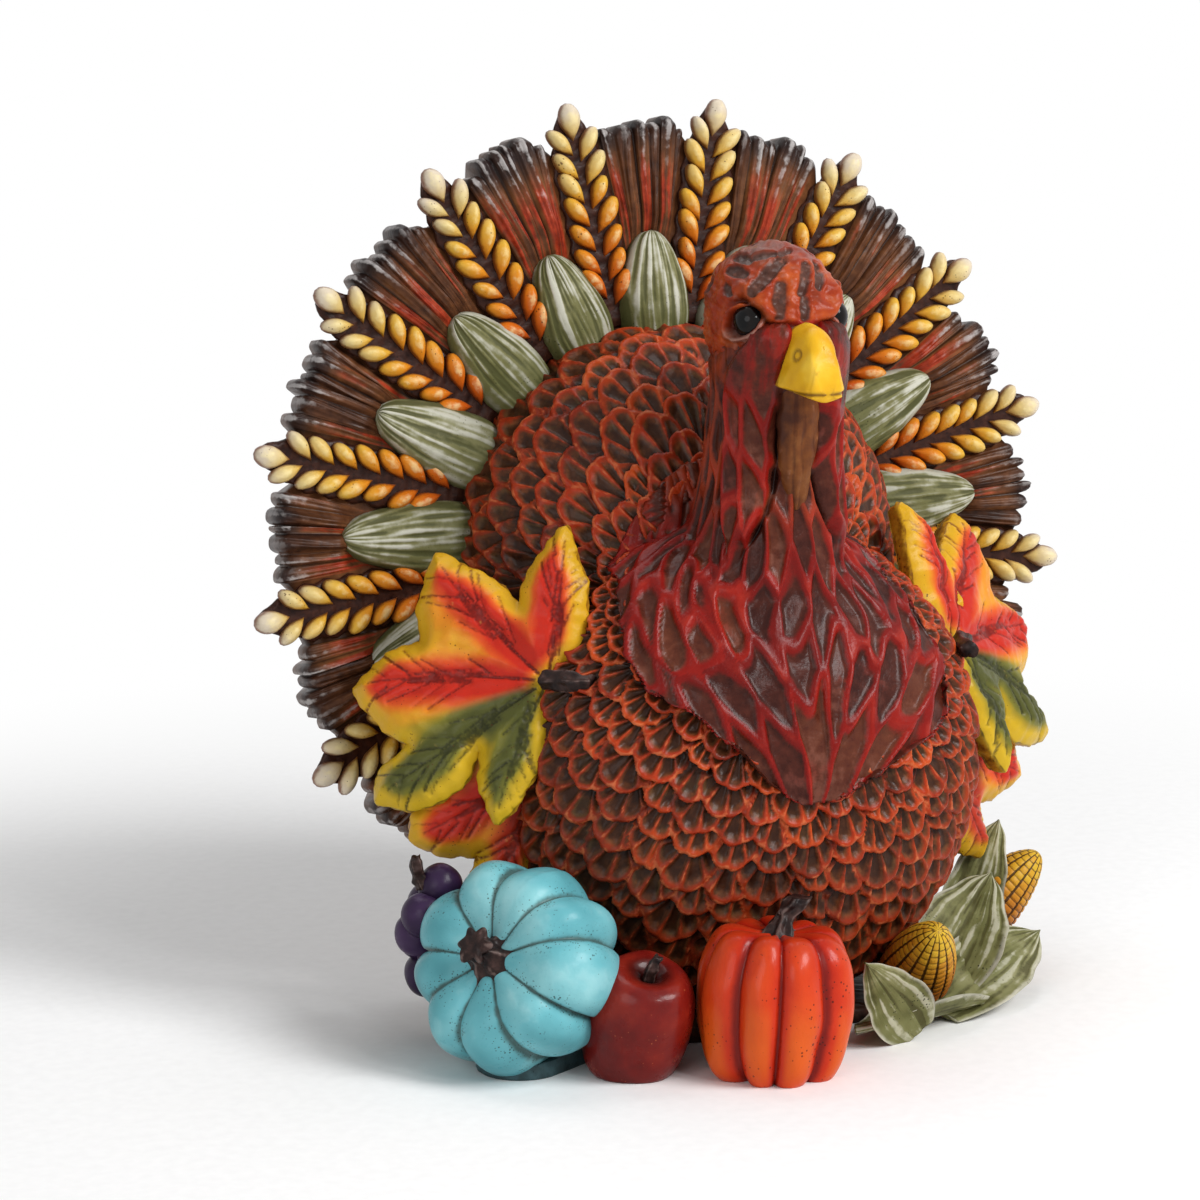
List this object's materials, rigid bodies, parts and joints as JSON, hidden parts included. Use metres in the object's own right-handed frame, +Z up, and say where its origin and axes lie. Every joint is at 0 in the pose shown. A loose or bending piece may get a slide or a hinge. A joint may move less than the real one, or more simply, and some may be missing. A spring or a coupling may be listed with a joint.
{
  "type": "thanksgiving turkey figure",
  "caption": "Hand-painted resin turkey table ornament with a fanned tail of feathers and wheat ears, maple leaves at its sides, and pumpkins, apple, grapes and corn at its foot.",
  "frame": {"origin": "middle of the figure's bounding box, in the plane of the table it stands on", "axes": "+Z up; the bird looks along -Y; +X to the right of a viewer who faces the bird"},
  "size_m": [0.2184, 0.1388, 0.215],
  "materials": {
    "plinth": "dark brown resin, matte",
    "tail_feathers": "dark brown painted resin with dry-brushed red crests",
    "wheat": "cream to orange painted resin",
    "husk_feathers": "olive painted resin with pale dry-brushed striations",
    "body_feathers": "dark brown painted resin with orange-red feather rims, satin",
    "bib": "crimson painted resin, semi-gloss",
    "head": "orange-red painted resin, satin",
    "beak": "yellow painted resin, satin",
    "eyes": "black gloss",
    "leaves": "yellow to red painted resin, satin",
    "stems": "dark brown painted resin",
    "blue_pumpkin": "turquoise painted resin, satin",
    "orange_pumpkin": "orange-red painted resin, satin",
    "apple": "dark red painted resin, gloss",
    "grapes": "dark purple painted resin, satin",
    "corn": "yellow to orange painted resin",
    "corn_husks": "grey-olive painted resin"
  },
  "bodies": {
    "root": {"apple": "apple", "apple_stem": "stems", "beak": "beak", "bib_and_neck": "bib", "blue_pumpkin": "blue_pumpkin", "blue_pumpkin_stem": "stems", "body": "body_feathers", "corn_ear_1": "corn", "corn_ear_2": "corn", "corn_husk_1": "corn_husks", "corn_husk_2": "corn_husks", "corn_husk_3": "corn_husks", "corn_husk_4": "corn_husks", "corn_husk_5": "corn_husks", "eye_left": "eyes", "eye_right": "eyes", "grape_bunch": "grapes", "grape_stem": "stems", "head": "head", "husk_feather_1": "husk_feathers", "husk_feather_10": "husk_feathers", "husk_feather_11": "husk_feathers", "husk_feather_2": "husk_feathers", "husk_feather_3": "husk_feathers", "husk_feather_4": "husk_feathers", "husk_feather_5": "husk_feathers", "husk_feather_6": "husk_feathers", "husk_feather_7": "husk_feathers", "husk_feather_8": "husk_feathers", "husk_feather_9": "husk_feathers", "left_leaf_stem": "stems", "left_lower_leaf": "leaves", "left_upper_leaf": "leaves", "orange_pumpkin": "orange_pumpkin", "orange_pumpkin_stem": "stems", "plinth": "plinth", "right_leaf_stem": "stems", "right_lower_leaf": "leaves", "right_upper_leaf": "leaves", "tail_fan": "tail_feathers", "wattle": "bib", "wheat_ear_1": "wheat", "wheat_ear_10": "wheat", "wheat_ear_11": "wheat", "wheat_ear_12": "wheat", "wheat_ear_2": "wheat", "wheat_ear_3": "wheat", "wheat_ear_4": "wheat", "wheat_ear_5": "wheat", "wheat_ear_6": "wheat", "wheat_ear_7": "wheat", "wheat_ear_8": "wheat", "wheat_ear_9": "wheat"}
  },
  "joints": []
}
